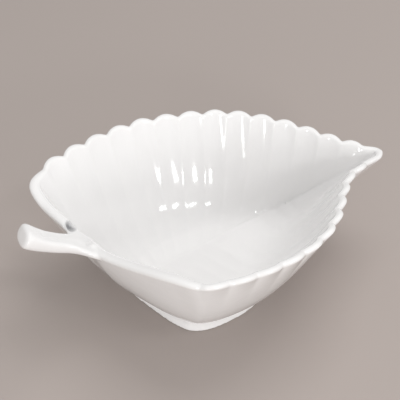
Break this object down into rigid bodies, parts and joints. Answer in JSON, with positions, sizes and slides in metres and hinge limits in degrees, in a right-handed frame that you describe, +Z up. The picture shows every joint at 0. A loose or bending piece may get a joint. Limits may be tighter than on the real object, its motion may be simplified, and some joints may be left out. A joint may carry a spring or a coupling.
{
  "type": "leaf shaped bowl plate",
  "caption": "Deep leaf shaped serving bowl in white glazed porcelain with a fluted scalloped rim, a pointed tip, a stem handle and a low foot ring.",
  "frame": {"origin": "middle of the whole outline in plan, at the table under the foot", "axes": "+X from the stem handle towards the leaf's tip, +Z up; +Y towards the leaf's long scalloped side, the tip curving away from it"},
  "size_m": [0.2344, 0.1708, 0.0794],
  "materials": {
    "porcelain": "gloss"
  },
  "bodies": {
    "root": {"leaf_bowl": "porcelain", "foot_ring": "porcelain", "stem_handle": "porcelain"}
  },
  "joints": []
}
